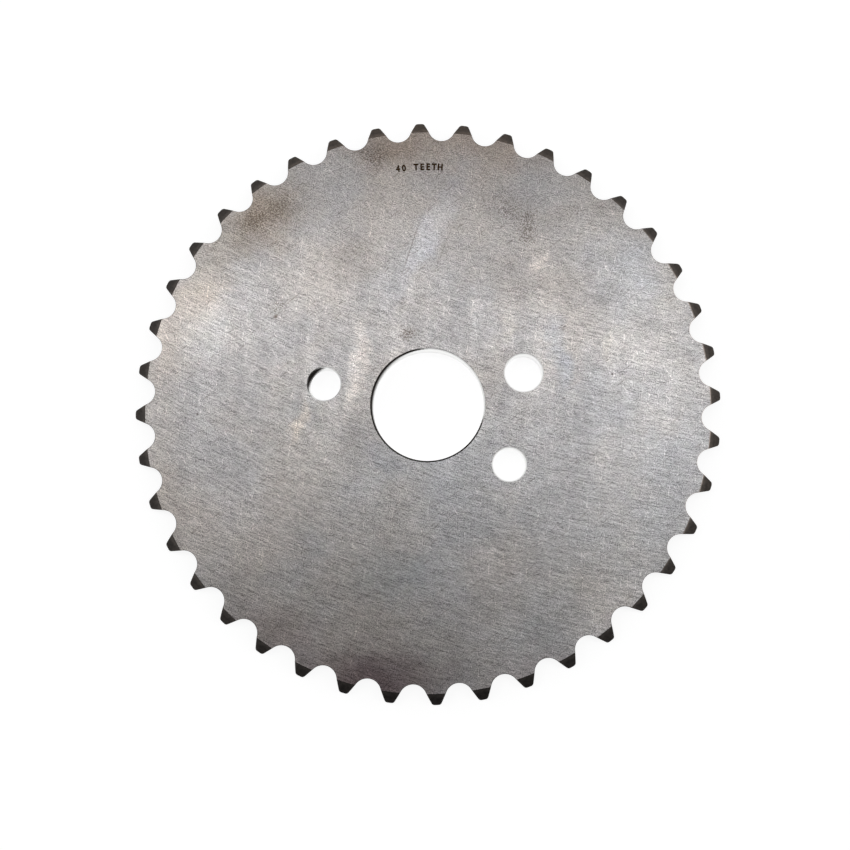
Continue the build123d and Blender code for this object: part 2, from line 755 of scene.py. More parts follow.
class NodeBench:
    """Lays out the nodes of one material or of the room's light."""

    # Gloss of the dull coat that paints shade on the hole walls, where they aren't bare metal
    shade_coat_gloss = 0.0

    def __init__(self, name: str, tree: Optional[bpy.types.NodeTree] = None) -> None:
        """Starts an empty material, or clears the nodes that are given.

        Args:
            name: Name of the material.
            tree: The nodes to lay out, where they aren't a new material's.
        """
        self.material = None
        if tree is None:
            self.material = bpy.data.materials.new(name)
            self.material.use_nodes = True
            tree = self.material.node_tree
        self.tree = tree
        self.tree.nodes.clear()

    def add(self, kind: str, **settings: object) -> bpy.types.Node:
        """Adds a node and sets its options.

        Args:
            kind: The node's type, without its common prefix.
            **settings: Options of the node.

        Returns:
            The new node.
        """
        node = self.tree.nodes.new("ShaderNode" + kind)
        for option, value in settings.items():
            setattr(node, option, value)
        return node

    def feed(self, socket: Socket, value: Union[Number, Sequence[float]]) -> None:
        """Links a socket to another one, or sets it to a plain value.

        Args:
            socket: The socket to feed.
            value: Another node's socket, a number, a colour or a vector.
        """
        if isinstance(value, bpy.types.NodeSocket):
            self.tree.links.new(value, socket)
        elif socket.type == "RGBA":
            socket.default_value = (*value, 1.0)
        else:
            socket.default_value = value

    def number(self, operation: str, first: Number, second: Number = 0.0, clamp: bool = False) -> Socket:
        """Combines two numbers.

        Args:
            operation: What to do with them.
            first: The first number.
            second: The second number.
            clamp: Whether the result is kept between 0 and 1.

        Returns:
            The result.
        """
        node = self.add("Math", operation=operation, use_clamp=clamp)
        self.feed(node.inputs[0], first)
        self.feed(node.inputs[1], second)
        return node.outputs[0]

    def vector(self, operation: str, *values: Union[Socket, Sequence[float]]) -> Socket:
        """Combines points or directions.

        Args:
            operation: What to do with them.
            *values: The points or directions.

        Returns:
            The result: a number for a length or a dot product, and a vector otherwise.
        """
        node = self.add("VectorMath", operation=operation)
        for socket, value in zip(node.inputs, values):
            self.feed(socket, value)
        return node.outputs["Value" if operation in ("LENGTH", "DOT_PRODUCT") else "Vector"]

    def parts(self, where: Socket) -> tuple[Socket, Socket, Socket]:
        """Splits a point into its coordinates.

        Args:
            where: The point.

        Returns:
            Its x, y and z.
        """
        node = self.add("SeparateXYZ")
        self.feed(node.inputs[0], where)
        return node.outputs["X"], node.outputs["Y"], node.outputs["Z"]

    def spread(
        self,
        value: Number,
        low: float,
        high: float,
        to_low: Number = 0.0,
        to_high: Number = 1.0,
    ) -> Socket:
        """Maps a range of values onto another one, softly at both ends.

        Args:
            value: The value to map.
            low: Start of its range.
            high: End of its range.
            to_low: Result at the start.
            to_high: Result at the end.

        Returns:
            The mapped value.
        """
        node = self.add("MapRange", interpolation_type="SMOOTHSTEP")
        for socket, given in zip(node.inputs, (value, low, high, to_low, to_high)):
            self.feed(socket, given)
        return node.outputs[0]

    def place(self, where: Socket, shift: Sequence[float], turn: float, size: Sequence[float]) -> Socket:
        """Moves a point into the frame of a mark that is shifted, turned and sized.

        Args:
            where: The point.
            shift: Centre of the mark.
            turn: Angle of the mark in degrees.
            size: Length of the mark's axes.

        Returns:
            The point, measured in the mark's own axes.
        """
        node = self.add("Mapping", vector_type="TEXTURE")
        self.feed(node.inputs["Vector"], where)
        self.feed(node.inputs["Location"], shift)
        self.feed(node.inputs["Rotation"], (0, 0, math.radians(turn)))
        self.feed(node.inputs["Scale"], size)
        return node.outputs[0]

    def noise(self, where: Socket, grain: Grain, coloured: bool = False) -> Socket:
        """Gives a smooth random value.

        Args:
            where: The point.
            grain: How the value changes from place to place.
            coloured: Whether to give three values, as a colour.

        Returns:
            A value near 0.5, or three of them.
        """
        node = self.add("TexNoise", noise_dimensions="3D")
        self.feed(node.inputs["Vector"], where)
        self.feed(node.inputs["Scale"], grain.scale)
        self.feed(node.inputs["Detail"], grain.detail)
        self.feed(node.inputs["Roughness"], grain.roughness)
        return node.outputs["Color" if coloured else "Fac"]

    def blend(
        self,
        share: Number,
        first: Union[Socket, Colour],
        second: Union[Socket, Colour],
        how: str = "MIX",
    ) -> Socket:
        """Blends two colours.

        Args:
            share: How much of the second colour there is.
            first: The first colour.
            second: The second colour.
            how: The way of blending.

        Returns:
            The blended colour.
        """
        node = self.add("Mix", data_type="RGBA", blend_type=how)
        node.clamp_factor = True
        factor, colours = node.inputs[0], node.inputs[6:8]
        self.feed(factor, share)
        for socket, colour in zip(colours, (first, second)):
            self.feed(socket, colour)
        return node.outputs[2]

    def tinted(self, colour: Socket, tint: Union[Socket, Colour], share: Number = 1.0) -> Socket:
        """Multiplies a colour by a tint.

        Args:
            colour: The colour.
            tint: The tint, in which 1 leaves the colour as it is.
            share: How much of the tint is used.

        Returns:
            The tinted colour.
        """
        return self.blend(share, colour, tint, "MULTIPLY")

    def grey(self, level: Socket) -> Socket:
        """Turns a number into a grey.

        Args:
            level: The number.

        Returns:
            The grey of that level.
        """
        node = self.add("CombineColor")
        for socket in node.inputs:
            self.feed(socket, level)
        return node.outputs[0]

    def millimetres(self) -> Socket:
        """Gives the point on the piece itself, in millimetres."""
        return self.vector("MULTIPLY", self.add("TexCoord").outputs["Object"], (1 / MM,) * 3)

    def facing(self, side: Sequence[float]) -> Socket:
        """Tells how far the surface faces a side, from -1 to 1."""
        return self.vector("DOT_PRODUCT", self.add("NewGeometry").outputs["True Normal"], side)

    def bump(self, height: Socket, distance: float, strength: float) -> Socket:
        """Turns a height into a shading direction.

        Args:
            height: The height.
            distance: Real height of one unit, in metres.
            strength: How strongly it shows.

        Returns:
            The direction.
        """
        node = self.add("Bump")
        self.feed(node.inputs["Height"], height)
        self.feed(node.inputs["Distance"], distance)
        self.feed(node.inputs["Strength"], strength)
        return node.outputs[0]

    def metal(
        self,
        colour: Union[Socket, Colour],
        roughness: Number,
        normal: Socket,
        bare: Number = 1.0,
    ) -> bpy.types.Material:
        """Ends the material in a metal surface.

        Args:
            colour: The metal's colour.
            roughness: Its roughness.
            normal: The shading direction.
            bare: How much of the surface is bare metal and not the dull dark coat that paints shade on hole
                walls.

        Returns:
            The finished material.
        """
        shader = self.add("BsdfPrincipled")
        self.feed(shader.inputs["Specular IOR Level"], self.shade_coat_gloss)
        self.feed(shader.inputs["Metallic"], bare)
        self.feed(shader.inputs["Base Color"], colour)
        self.feed(shader.inputs["Roughness"], roughness)
        self.feed(shader.inputs["Normal"], normal)
        self.feed(self.add("OutputMaterial").inputs["Surface"], shader.outputs[0])
        return self.material


@dataclass(frozen=True)
class Patch:
    """An oval place on the front face, used for stains and rubbed places and also for painted light and
    shade. Lengths are in millimetres.
    """

    spot: tuple[float, float]
    size: tuple[float, float]
    turn: float = 0.0
    strength: float = 1.0
    tint: Colour = (1.0, 1.0, 1.0)
    rim: float = 1.0
    core: float = 0.1

    def mask(self, bench: NodeBench, where: Socket) -> Socket:
        """Gives the patch's strength at each point.

        Args:
            bench: The material's nodes.
            where: The point in millimetres.

        Returns:
            The full strength in the middle, falling to nothing at the rim.
        """
        own = bench.place(where, (*self.spot, FRONT_HEIGHT), self.turn, (*self.size, FRONT_HEIGHT))
        return bench.spread(bench.vector("LENGTH", own), self.rim, self.core, 0.0, self.strength)


# Stains and rubbed places of the front face, with broad painted highlights and painted shade that lighten
# and darken it in places
STAINS_AND_PAINTED_SHADING = (
    Patch((2.0, 63.0), (60.0, 18.0), 0, 0.75, (0.80, 0.68, 0.58)),
    Patch((-35.0, 42.0), (17.0, 12.0), 38, 0.75, (0.63, 0.56, 0.48)),
    Patch((-46.0, 32.0), (18.0, 9.0), 55, 0.6, (0.94, 0.87, 0.77)),
    Patch((-42.0, 19.0), (14.0, 15.0), 0, 0.8, (1.22, 1.21, 1.20)),
    Patch((-9.0, 56.0), (11.0, 6.0), 0, 0.7, (0.80, 0.76, 0.72)),
    Patch((6.0, 56.0), (6.0, 5.0), 0, 0.7, (1.14, 1.13, 1.12)),
    Patch((-15.0, 46.0), (18.0, 8.0), 0, 0.5, (0.86, 0.85, 0.84)),
    Patch((19.0, 43.0), (11.0, 7.0), -25, 0.5, (0.78, 0.75, 0.73)),
    Patch((-16.0, 33.0), (9.0, 9.0), 0, 0.7, (0.76, 0.75, 0.74)),
    Patch((17.0, 28.0), (14.0, 8.0), -8, 0.7, (0.80, 0.79, 0.78)),
    Patch((-31.0, -1.0), (17.0, 9.0), -8, 0.5, (0.82, 0.85, 0.87)),
    Patch((-14.0, -7.0), (9.0, 8.0), -30, 0.75, (0.72, 0.73, 0.75)),
    Patch((-9.0, -12.0), (8.0, 3.6), -35, 0.8, (0.78, 0.80, 0.84)),
    Patch((-30.0, -16.0), (10.0, 6.0), 0, 0.6, (1.12, 1.11, 1.10)),
    Patch((14.5, 3.5), (6.0, 10.0), 0, 0.8, (0.76, 0.77, 0.79)),
    Patch((4.0, -21.0), (20.0, 13.0), 0, 0.45, (0.84, 0.85, 0.87)),
    Patch((-8.0, -36.0), (13.0, 9.0), 0, 0.7, (0.80, 0.86, 0.90)),
    Patch((-10.0, -55.0), (12.0, 6.0), 0, 0.8, (0.82, 0.80, 0.81)),
    Patch((15.0, -51.0), (9.0, 11.0), 0, 0.8, (1.20, 1.19, 1.18)),
    Patch((36.0, 24.0), (8.0, 7.0), 0, 0.7, (0.82, 0.82, 0.83)),
    Patch((26.0, 6.0), (5.0, 8.0), 0, 0.6, (1.16, 1.15, 1.14)),
    Patch((-12.0, -61.0), (22.0, 15.0), 8, 0.9, (0.48, 0.38, 0.41)),
    Patch((-28.0, -50.0), (22.0, 9.0), -32, 0.4, (0.74, 0.63, 0.65)),
    Patch((22.0, -56.0), (16.0, 8.0), 20, 0.5, (1.02, 0.94, 0.94)),
    Patch((-5.0, -16.0), (46.0, 30.0), -12, 0.6, (0.95, 0.99, 1.02)),
    Patch((34.0, -38.0), (34.0, 20.0), 38, 0.9, (1.12, 1.14, 1.15)),
    Patch((38.0, -44.0), (18.0, 8.0), 46, 0.8, (1.40, 1.38, 1.37)),
    Patch((46.0, 2.0), (22.0, 46.0), 0, 0.8, (1.05, 1.09, 1.13)),
    Patch((42.0, 30.0), (20.0, 12.0), -40, 0.8, (1.22, 1.24, 1.26)),
    Patch((-41.0, -25.0), (18.0, 14.0), 0, 0.7, (1.24, 1.22, 1.21)),
    Patch((-57.0, 0.0), (8.0, 40.0), 0, 0.6, (1.04, 1.00, 0.95)),
    Patch((27.5, 12.0), (3.0, 12.0), 5, 0.7, (0.92, 0.99, 1.08)),
    Patch((-47.0, 15.0), (7.0, 7.0), 0, 0.5, (0.96, 1.02, 1.06)),
    Patch((5.5, 47.0), (8.0, 6.0), 0, 0.6, (0.82, 0.82, 0.84)),
    Patch((15.0, -35.0), (9.0, 7.0), 0, 0.6, (1.14, 1.13, 1.13)),
    Patch((5.0, -56.0), (7.0, 5.0), 0, 0.7, (0.83, 0.81, 0.82)),
    Patch((-35.0, -4.0), (6.0, 7.0), 0, 0.6, (0.84, 0.84, 0.85)),
    Patch((15.0, 15.0), (5.0, 6.0), 0, 0.6, (1.14, 1.13, 1.13)),
)

# Painted light and shade on the bevels round the gear: lighter above and right, painted shade below, and a
# warmer tint above
BEVEL_PAINTED_SHADING = (
    Patch((68.0, 8.0), (60.0, 80.0), 0, 1.0, (1.40, 1.36, 1.32)),
    Patch((0.0, 66.0), (70.0, 34.0), 0, 1.0, (1.42, 1.30, 1.20)),
    Patch((0.0, -66.0), (90.0, 44.0), 0, 1.0, (0.47, 0.47, 0.48)),
)

# The side on which a painted glint, a thin bright line, lies along the bevels' inner edges
PAINTED_GLINT_SIDE = Patch((62.0, 8.0), (36.0, 62.0))

# Painted reflections: bright streaks painted where the ground face would mirror the room
SHEEN = (
    Patch((-0.6, 36.0), (21.0, 4.4), 61, 1.0, (1.15, 1.19, 1.26)),
    Patch((-9.0, 29.0), (8.0, 1.5), 68, 0.6, (1.14, 1.14, 1.14)),
    Patch((-14.6, 9.5), (13.0, 2.4), 84, 1.0, (1.38, 1.33, 1.28)),
    Patch((-26.8, -3.2), (7.5, 2.2), 80, 1.0, (1.38, 1.31, 1.22)),
    Patch((10.3, 20.6), (7.0, 1.6), 78, 0.7, (1.18, 1.15, 1.13)),
    Patch((17.0, 16.8), (5.0, 1.8), 85, 0.7, (1.18, 1.15, 1.10)),
    Patch((24.0, 31.0), (4.6, 1.8), 28, 1.0, (1.34, 1.31, 1.28)),
    Patch((24.0, 14.5), (8.0, 1.6), 86, 0.7, (1.15, 1.14, 1.12)),
    Patch((31.5, 8.0), (11.0, 2.2), 88, 0.5, (1.12, 1.08, 1.03)),
    Patch((39.0, 11.0), (11.0, 1.8), 86, 0.5, (1.10, 1.08, 1.04)),
)

# Places where fine rusty specks lie close together
SPECKLES = (
    Patch((-35.0, 41.5), (14.0, 7.5), 40, 1.0),
    Patch((-38.0, 40.0), (5.0, 3.0), 40, 0.6),
    Patch((-32.0, 43.0), (5.0, 3.0), 40, 0.4),
    Patch((-11.4, 53.0), (2.6, 5.0), -10, 0.4),
    Patch((-12.5, 55.0), (9.0, 5.0), 0, 1.1),
    Patch((0.5, 50.3), (9.0, 4.0), 0, 0.5),
    Patch((31.9, 42.4), (8.0, 4.0), -40, 0.6),
    Patch((21.6, 38.0), (3.4, 9.0), -14, 1.0),
    Patch((15.5, 43.5), (11.0, 7.0), -30, 0.7),
    Patch((19.8, 23.7), (5.0, 3.0), 0, 0.7),
    Patch((-4.4, 15.2), (3.8, 2.6), 30, 1.25),
    Patch((-31.8, 21.5), (3.0, 4.5), 0, 0.6),
    Patch((9.2, 55.9), (8.0, 4.0), 0, 0.6),
)

# Single scratches, dark or bright, and three small dark dents
SCRATCHES = (
    Patch((-3.6, 34.5), (12.0, 0.26), 72, 0.8, (0.66, 0.63, 0.61)),
    Patch((3.2, 33.5), (9.0, 0.24), 70, 0.6, (0.70, 0.68, 0.66)),
    Patch((-42.0, 25.0), (4.2, 0.26), -14, 0.9, (1.45, 1.42, 1.40)),
    Patch((-31.5, 23.0), (3.4, 0.26), 52, 0.9, (1.42, 1.40, 1.38)),
    Patch((-47.3, 24.4), (3.2, 0.26), 84, 0.9, (1.45, 1.43, 1.40)),
    Patch((-32.6, 19.1), (0.9, 0.7), 30, 1.0, (0.42, 0.37, 0.34)),
    Patch((-28.9, 23.0), (3.0, 0.26), 40, 0.8, (0.55, 0.52, 0.50)),
    Patch((24.0, 29.6), (4.2, 0.3), 12, 0.8, (1.25, 1.24, 1.22)),
    Patch((35.0, 30.6), (3.4, 0.3), 20, 0.7, (0.68, 0.66, 0.65)),
    Patch((-48.8, -1.9), (0.4, 0.35), 0, 1.0, (0.25, 0.22, 0.20)),
    Patch((39.2, 6.5), (0.4, 0.35), 0, 1.0, (0.25, 0.22, 0.20)),
)


@dataclass(frozen=True)
class HairLines:
    """Thin scratches, strewn sparsely over the face, that all run one way."""

    turn: float
    tint: Colour
    rarity: float = 0.72
    softness: float = 0.08
    along: float = 0.32
    across: float = 3.4
    grain: Grain = Grain(1.0, 0)

    def mask(self, bench: NodeBench, where: Socket) -> Socket:
        """Gives where the scratches lie.

        Args:
            bench: The material's nodes.
            where: The point in millimetres.

        Returns:
            1 on a scratch and 0 beside it.
        """
        own = bench.place(where, (0.0, 0.0, 0.0), self.turn, (1 / self.along, 1 / self.across, 1.0))
        return bench.spread(bench.noise(own, self.grain), self.rarity, self.rarity + self.softness)


HAIR_LINES = (
    HairLines(38, (0.76, 0.74, 0.73)),
    HairLines(-58, (1.26, 1.25, 1.24)),
    HairLines(83, (1.28, 1.27, 1.26)),
)

# The rubbed upper part, where the grinding lines are faint, and the band of upright streaks of painted
# sheen
WORN_TOP = Patch((0.0, 58.0), (85.0, 52.0))
PAINTED_SHEEN_BAND = Patch((0.0, 7.0), (90.0, 34.0))


@dataclass(frozen=True)
class GroundFace:
    """The bright ground face of the plate, with its grinding lines, the marks of handling, and painted
    highlights and shade.
    """

    warm: Colour = (0.475, 0.443, 0.422)
    cool: Colour = (0.442, 0.430, 0.432)
    clouds: Grain = Grain(0.05, 3, 0.55)
    roughness: float = 0.38
    roughness_change: float = 0.02
    wheel_centre: tuple[float, float] = (140.0, 400.0)
    wheel_reach: float = 424.0
    line_grain: tuple[float, float] = (0.28, 3.4)
    line_share: float = 0.42
    worn_line_share: float = 0.12
    dash_grain: tuple[float, float] = (1.1, 4.2)
    dash_share: float = 0.4
    crumbs: Grain = Grain(4.2, 1, 0.6)
    crumb_share: float = 1.0
    relief_range: tuple[float, float] = (-0.44, 0.44)
    relief_levels: tuple[float, float] = (0.28, 1.76)
    relief_height: float = 0.003 * MM
    relief_strength: float = 0.5
    tints: Grain = Grain(0.4, 2, 0.55)
    tint_share: float = 0.05
    mottles: Grain = Grain(0.17, 2)
    mottle_share: float = 0.04
    streaks: Grain = Grain(1.0, 1)
    streak_share: float = 0.09
    streak_turn: float = -4.0
    streak_size: tuple[float, float] = (2.6, 20.0)
    rust: Colour = (0.105, 0.075, 0.055)
    specks: Grain = Grain(3.0, 3, 0.7)
    speck_range: tuple[float, float] = (0.37, 0.24)
    speck_cover: float = 0.8
    speck_crowding: float = 0.14
    drifts: Grain = Grain(0.08, 2, 0.6)
    drift_range: tuple[float, float] = (0.55, 0.75)
    drift_share: float = 0.35
    pulls: Grain = Grain(0.16, 4, 0.65)
    pull_reach: float = 9.0

    def make(self) -> bpy.types.Material:
        """Makes the ground face's material.

        Returns:
            The finished material.
        """
        bench = NodeBench("ground_face")
        where = bench.millimetres()
        loose = self._loosened(bench, where)

        cloud = bench.noise(where, self.clouds)
        colour = bench.blend(bench.spread(cloud, *MID_RANGE), self.warm, self.cool)
        # Tints from the patch lists: stains, painted highlights and shade, and painted reflections
        for patch in STAINS_AND_PAINTED_SHADING + SHEEN:
            colour = bench.tinted(colour, patch.tint, patch.mask(bench, loose))
        for mark in SCRATCHES + HAIR_LINES:
            colour = bench.tinted(colour, mark.tint, mark.mask(bench, where))
        colour = bench.tinted(colour, self._mottling(bench, where))

        relief = self._relief(bench, where)
        grain = bench.spread(relief, *self.relief_range, *self.relief_levels)
        colour = bench.tinted(colour, bench.grey(grain))
        colour = bench.blend(self._rusty(bench, where), colour, self.rust)

        change = self.roughness_change
        rough = bench.spread(cloud, *FULL_RANGE, self.roughness - change, self.roughness + change)
        return bench.metal(colour, rough, bench.bump(relief, self.relief_height, self.relief_strength))

    def _loosened(self, bench: NodeBench, where: Socket) -> Socket:
        """Pulls the point about a little, so that the patches get uneven rims.

        Args:
            bench: The material's nodes.
            where: The point in millimetres.

        Returns:
            The moved point.
        """
        pull = bench.vector("SUBTRACT", bench.noise(where, self.pulls, coloured=True), (0.5, 0.5, 0.5))
        return bench.vector("MULTIPLY_ADD", pull, (self.pull_reach, self.pull_reach, 0.0), where)

    def _mottling(self, bench: NodeBench, where: Socket) -> Socket:
        """Gives the faint clouds in lightness and tint that wear leaves, and upright light and dark streaks
        of painted sheen in a band across the middle.

        Args:
            bench: The material's nodes.
            where: The point in millimetres.

        Returns:
            A colour near white.
        """
        colour = bench.vector(
            "MULTIPLY_ADD",
            bench.noise(where, self.tints, coloured=True),
            (self.tint_share,) * 3,
            (1 - self.tint_share / 2,) * 3,
        )
        mottle = bench.noise(where, self.mottles)
        level = bench.spread(mottle, *FULL_RANGE, 1 - self.mottle_share, 1 + self.mottle_share)
        # Painted sheen: upright light and dark streaks, only within the band across the middle
        upright = bench.place(where, (0.0, 0.0, 0.0), self.streak_turn, (*self.streak_size, 1.0))
        streak = bench.noise(upright, self.streaks)
        streak = bench.spread(streak, *MID_RANGE, -self.streak_share, self.streak_share)
        streak = bench.number("MULTIPLY", streak, PAINTED_SHEEN_BAND.mask(bench, where))
        return bench.tinted(colour, bench.grey(bench.number("ADD", level, streak)))

    def _relief(self, bench: NodeBench, where: Socket) -> Socket:
        """Gives the grinding marks: long lines, short dashes and crumbs between them.

        Args:
            bench: The material's nodes.
            where: The point in millimetres.

        Returns:
            A height near 0.
        """
        worn = bench.spread(WORN_TOP.mask(bench, where), 0.0, 1.0, self.line_share, self.worn_line_share)
        layers = (
            (self._arcs(bench, where, self.line_grain), worn),
            (self._arcs(bench, where, self.dash_grain), self.dash_share),
            (bench.noise(where, self.crumbs), self.crumb_share),
        )
        relief: Number = 0.0
        for layer, share in layers:
            part = bench.number("MULTIPLY", bench.number("SUBTRACT", layer, 0.5), share)
            relief = bench.number("ADD", relief, part)
        return relief

    def _arcs(self, bench: NodeBench, where: Socket, grain: tuple[float, float]) -> Socket:
        """Gives short fine lines along the wide arcs that the grinding wheel ran in.

        Args:
            bench: The material's nodes.
            where: The point in millimetres.
            grain: How many lines there are in a millimetre, along the arcs and across them.

        Returns:
            A value near 0.5.
        """
        along, across = grain
        away = bench.vector("SUBTRACT", where, (*self.wheel_centre, 0.0))
        x, y, z = bench.parts(away)
        turn = bench.number("ARCTAN2", x, y)
        spot = bench.add("CombineXYZ")
        bench.feed(spot.inputs["X"], bench.number("MULTIPLY", turn, self.wheel_reach * along))
        bench.feed(spot.inputs["Y"], bench.number("MULTIPLY", bench.vector("LENGTH", away), across))
        bench.feed(spot.inputs["Z"], z)
        return bench.noise(spot.outputs[0], Grain(1.0, 1))

    def _rusty(self, bench: NodeBench, where: Socket) -> Socket:
        """Gives where fine dark specks lie: thickly in a few places and thinly elsewhere.

        Args:
            bench: The material's nodes.
            where: The point in millimetres.

        Returns:
            How much of the metal the specks hide, from 0 to 1.
        """
        dense = bench.spread(bench.noise(where, self.drifts), *self.drift_range, 0.0, self.drift_share)
        for patch in SPECKLES:
            dense = bench.number("ADD", dense, patch.mask(bench, where))
        crowded = bench.number("MULTIPLY", dense, self.speck_crowding)
        dots = bench.number("SUBTRACT", bench.noise(where, self.specks), crowded)
        return bench.spread(dots, *self.speck_range, 0.0, self.speck_cover)


@dataclass(frozen=True)
class CutSteel:
    """The darker steel that cutting and heat left on the teeth and bevels, with painted light and shade by
    side of the gear and a thin painted glint along the creases on one side.
    """

    name: str
    dark: Colour
    light: Colour
    roughness: float
    painted_shading: tuple[Patch, ...] = ()
    crease_radius: float = 0.0
    crease_gain: float = 0.8
    crease_fade: float = 1.2
    glint_gain: float = 6.0
    glint_fade: float = 0.28
    least_slope: float = 0.5
    clouds: Grain = Grain(1.3, 4, 0.6)
    roughness_change: tuple[float, float] = (-0.06, 0.08)
    grain: Grain = Grain(6.0, 3, 0.6)
    grain_height: float = 0.01 * MM
    grain_strength: float = 0.4

    def make(self) -> bpy.types.Material:
        """Makes the cut steel's material.

        Returns:
            The finished material.
        """
        bench = NodeBench(self.name)
        where = bench.millimetres()
        cloud = bench.noise(where, self.clouds)
        colour = bench.blend(bench.spread(cloud, *MID_RANGE), self.dark, self.light)
        # Painted light and shade on the bevels, by side of the gear
        for shading_patch in self.painted_shading:
            colour = bench.tinted(colour, shading_patch.tint, shading_patch.mask(bench, where))
        if self.crease_radius:
            colour = bench.tinted(colour, bench.grey(self._crease(bench, where)))
        smoother, rougher = self.roughness_change
        rough = bench.spread(cloud, *FULL_RANGE, self.roughness + smoother, self.roughness + rougher)
        grain = bench.noise(where, self.grain)
        return bench.metal(colour, rough, bench.bump(grain, self.grain_height, self.grain_strength))

    def _crease(self, bench: NodeBench, where: Socket) -> Socket:
        """Gives how much brighter the bevels are where they leave the ground faces, with a thin painted
        glint on one side.

        Args:
            bench: The material's nodes.
            where: The point in millimetres.

        Returns:
            1 away from the creases and on the flanks, and more beside a crease.
        """
        reach = bench.vector("LENGTH", bench.vector("MULTIPLY", where, (1, 1, 0)))
        start = self.crease_radius / MM
        rise = bench.spread(reach, start, start + self.crease_fade, self.crease_gain, 0.0)
        # Painted highlight: a thin bright line along the crease, only on the glinting side
        glint = bench.spread(reach, start, start + self.glint_fade, self.glint_gain, 0.0)
        glint = bench.number("MULTIPLY", glint, PAINTED_GLINT_SIDE.mask(bench, where))
        rise = bench.number("ADD", rise, glint)
        level = bench.number("ABSOLUTE", bench.facing((0, 0, 1)))
        bevelled = bench.number("GREATER_THAN", level, self.least_slope)
        return bench.number("ADD", bench.number("MULTIPLY", rise, bevelled), 1.0)


@dataclass(frozen=True)
class PaintedSideShade:
    """Painted shade on the side of a hole's wall that faces one way, lighter towards the back."""

    side: tuple[float, float]
    start: float
    full: float
    depth_share: float
    fray: float = 0.06

    def cover(self, bench: NodeBench, height: Socket, grain: Socket) -> Socket:
        """Gives how strongly the shade is painted.

        Args:
            bench: The material's nodes.
            height: Height in the hole, from 0 at the back to 1 at the front.
            grain: A fine noise that frays the painted shade's edge.

        Returns:
            0 on clean steel and 1 under thick oil.
        """
        reach = bench.number("MULTIPLY", height, self.depth_share)
        reach = bench.number("ADD", reach, bench.facing((*self.side, 0.0)))
        reach = bench.number("ADD", reach, bench.spread(grain, *FULL_RANGE, -self.fray, self.fray))
        return bench.spread(reach, self.start, self.full)


@dataclass(frozen=True)
class PaintedRimShade:
    """Painted shade on a stretch of a hole's front chamfer, on the side that faces one way."""

    side: tuple[float, float]
    start: float
    full: float
    width: float
    softness: float = 0.02

    def cover(self, bench: NodeBench, height: Socket) -> Socket:
        """Gives how strongly the shade is painted.

        Args:
            bench: The material's nodes.
            height: Height in the hole, from 0 at the back to 1 at the front.

        Returns:
            0 on clean steel and 1 under thick dirt.
        """
        edge = 1 - self.width / FRONT_HEIGHT
        near = bench.spread(height, edge - self.softness, edge)
        turned = bench.spread(bench.facing((*self.side, 0.0)), self.start, self.full)
        return bench.number("MULTIPLY", near, turned)


@dataclass(frozen=True)
class HoleWall:
    """The wall of a hole: bright bored steel, with or without painted shade on one side and on its front
    rim.
    """

    name: str
    side_shade: Optional[PaintedSideShade] = None
    rim: Optional[PaintedRimShade] = None
    bright: Colour = (0.93, 0.93, 0.92)
    # Colour of the painted shade
    dark: Colour = (0.034, 0.029, 0.027)
    roughness: float = 0.3
    grain: Grain = Grain(3.0, 3, 0.6)
    grain_height: float = 0.004 * MM
    grain_strength: float = 0.3

    def make(self) -> bpy.types.Material:
        """Makes the wall's material.

        Returns:
            The finished material.
        """
        bench = NodeBench(self.name)
        where = bench.millimetres()
        grain = bench.noise(where, self.grain)
        normal = bench.bump(grain, self.grain_height, self.grain_strength)
        height = bench.number("DIVIDE", bench.parts(where)[2], FRONT_HEIGHT)
        covers = []
        if self.side_shade:
            covers.append(self.side_shade.cover(bench, height, grain))
        if self.rim:
            covers.append(self.rim.cover(bench, height))
        if not covers:
            return bench.metal(self.bright, self.roughness, normal)
        painted_shade = covers[0]
        for cover in covers[1:]:
            painted_shade = bench.number("MAXIMUM", painted_shade, cover)
        # Painted shade: the wall turns dark and dull where the shade is painted
        colour = bench.blend(painted_shade, self.bright, self.dark)
        return bench.metal(colour, self.roughness, normal, bench.number("SUBTRACT", 1.0, painted_shade))


@dataclass(frozen=True)
class Lamp:
    """One soft lamp that hangs over the gear and faces straight down."""

    name: str
    spot: tuple[float, float, float]
    size: tuple[float, float]
    power: float
    turn: float = 0.0

    def hang(self) -> None:
        """Makes the lamp and hangs it at its spot."""
        lamp = bpy.data.lights.new(self.name, "AREA")
        lamp.shape = "RECTANGLE"
        lamp.size, lamp.size_y = self.size
        lamp.energy = self.power
        holder = bpy.data.objects.new(self.name, lamp)
        holder.location = self.spot
        holder.rotation_euler.z = math.radians(self.turn)
        bpy.context.scene.collection.objects.link(holder)


